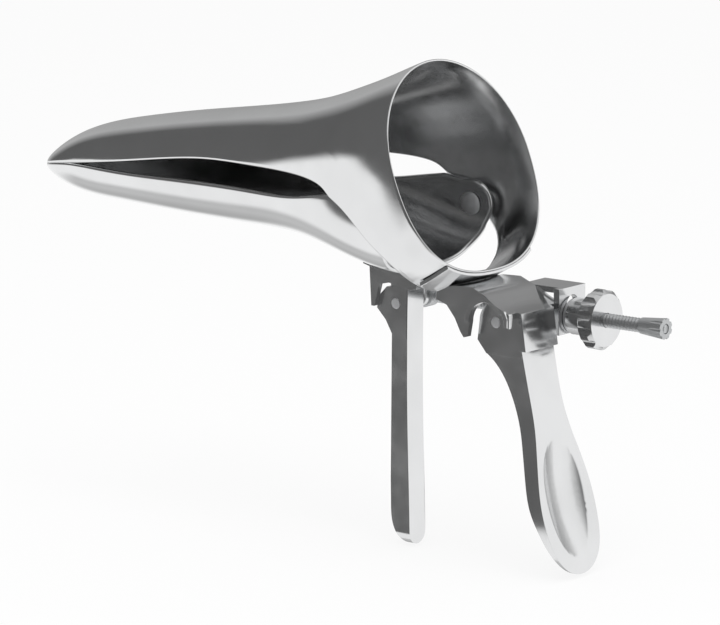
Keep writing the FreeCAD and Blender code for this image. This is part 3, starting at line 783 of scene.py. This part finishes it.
def world(scene):
    """White to the camera; in reflections dark and light walls round a pale table, under a grey ceiling."""
    w = bpy.data.worlds.new("studio")
    scene.world = w
    w.use_nodes = True
    nodes, links = w.node_tree.nodes, w.node_tree.links
    back = nodes["Background"]
    place = nodes.new("ShaderNodeTexCoord")
    cut = nodes.new("ShaderNodeSeparateXYZ")
    links.new(place.outputs["Generated"], cut.inputs[0])

    def dot(direction):
        d = nodes.new("ShaderNodeVectorMath")
        d.operation = "DOT_PRODUCT"
        d.inputs[1].default_value = direction
        links.new(place.outputs["Generated"], d.inputs[0])
        return d.outputs["Value"]

    def step(value, start, end):
        m = nodes.new("ShaderNodeMapRange")
        m.interpolation_type = "SMOOTHSTEP"
        low, rising = min(start, end), end > start
        m.inputs["From Min"].default_value, m.inputs["From Max"].default_value = low, max(start, end)
        m.inputs["To Min"].default_value, m.inputs["To Max"].default_value = (0, 1) if rising else (1, 0)
        links.new(value, m.inputs["Value"])
        return m.outputs["Result"]

    def round_about(stops):
        m = nodes.new("ShaderNodeMapRange")
        m.inputs["From Min"].default_value, m.inputs["From Max"].default_value = -math.pi, math.pi
        links.new(turn.outputs[0], m.inputs["Value"])
        r = nodes.new("ShaderNodeValToRGB")
        while len(r.color_ramp.elements) < len(stops):
            r.color_ramp.elements.new(0.5)
        for e, (angle, light) in zip(r.color_ramp.elements, stops):
            e.position = (angle / 180 + 1) / 2
            e.color = (light, light, light, 1)
        links.new(m.outputs["Result"], r.inputs["Fac"])
        return r.outputs["Color"]

    def mix(fac, a, b):
        m = nodes.new("ShaderNodeMix")
        m.data_type = "RGBA"
        if hasattr(fac, "links"):
            links.new(fac, m.inputs["Factor"])
        else:
            m.inputs["Factor"].default_value = fac
        for value, socket in ((a, m.inputs["A"]), (b, m.inputs["B"])):
            if hasattr(value, "links"):
                links.new(value, socket)
            else:
                socket.default_value = (value, value, value, 1)
        return m.outputs["Result"]

    left, beyond, high = dot((0.788, 0.616, 0.0)), dot((0.616, -0.788, 0.0)), cut.outputs["Z"]
    turn = nodes.new("ShaderNodeMath")
    turn.operation = "ARCTAN2"
    links.new(beyond, turn.inputs[0])
    links.new(left, turn.inputs[1])
    walls, table = round_about(WALLS), round_about(TABLE_EDGE)
    over_edge = nodes.new("ShaderNodeMath")
    over_edge.operation = "MULTIPLY_ADD"
    over_edge.inputs[1].default_value = -2.0
    links.new(table, over_edge.inputs[0])
    links.new(high, over_edge.inputs[2])
    band = nodes.new("ShaderNodeMath")
    band.operation = "MULTIPLY"
    links.new(step(high, -0.36, -0.6), band.inputs[0])
    links.new(step(high, -0.985, -0.92), band.inputs[1])
    ground = mix(band.outputs[0], 1.0, round_about(TABLE_TONE))
    studio = mix(step(over_edge.outputs[0], -0.93, -1.07), walls, ground)
    studio = mix(step(high, 0.735, 0.775), studio, CEILING)
    path = nodes.new("ShaderNodeLightPath")
    plain = mix(path.outputs["Is Camera Ray"], 0.75, 1.0)
    links.new(mix(path.outputs["Is Glossy Ray"], plain, studio), back.inputs["Color"])
    back.inputs["Strength"].default_value = 1.0


class SPEC_PT_panel(bpy.types.Panel):
    """Sizes, finishes and the steps that build the speculum"""
    bl_idname = "SPEC_PT_panel"
    bl_label = "Speculum"
    bl_space_type = "VIEW_3D"
    bl_region_type = "UI"
    bl_category = "Speculum"

    def draw(self, context):
        scene, layout = context.scene, self.layout
        for group in (scene.spec_valves, scene.spec_screw, scene.spec_finish, scene.spec_stage):
            for name in group.__annotations__:
                layout.prop(group, name)
        for step in STEPS:
            layout.operator(step.bl_idname)


STEPS = (SPEC_OT_upper_valve, SPEC_OT_lower_valve, SPEC_OT_rivets, SPEC_OT_handles, SPEC_OT_screw,
         SPEC_OT_stage)
GROUPS = (("spec_valves", SPEC_PG_valves), ("spec_screw", SPEC_PG_screw), ("spec_finish", SPEC_PG_finish),
          ("spec_stage", SPEC_PG_stage))


def register():
    for name, group in GROUPS:
        bpy.utils.register_class(group)
        setattr(bpy.types.Scene, name, bpy.props.PointerProperty(type=group))
    for cls in STEPS + (SPEC_PT_panel,):
        bpy.utils.register_class(cls)


def unregister():
    for cls in (SPEC_PT_panel,) + STEPS[::-1]:
        bpy.utils.unregister_class(cls)
    for name, group in GROUPS[::-1]:
        delattr(bpy.types.Scene, name)
        bpy.utils.unregister_class(group)


def main():
    register()
    for step in (bpy.ops.speculum.upper_valve, bpy.ops.speculum.lower_valve, bpy.ops.speculum.rivets,
                 bpy.ops.speculum.handles, bpy.ops.speculum.screw, bpy.ops.speculum.stage):
        step()


if __name__ == "__main__":
    main()
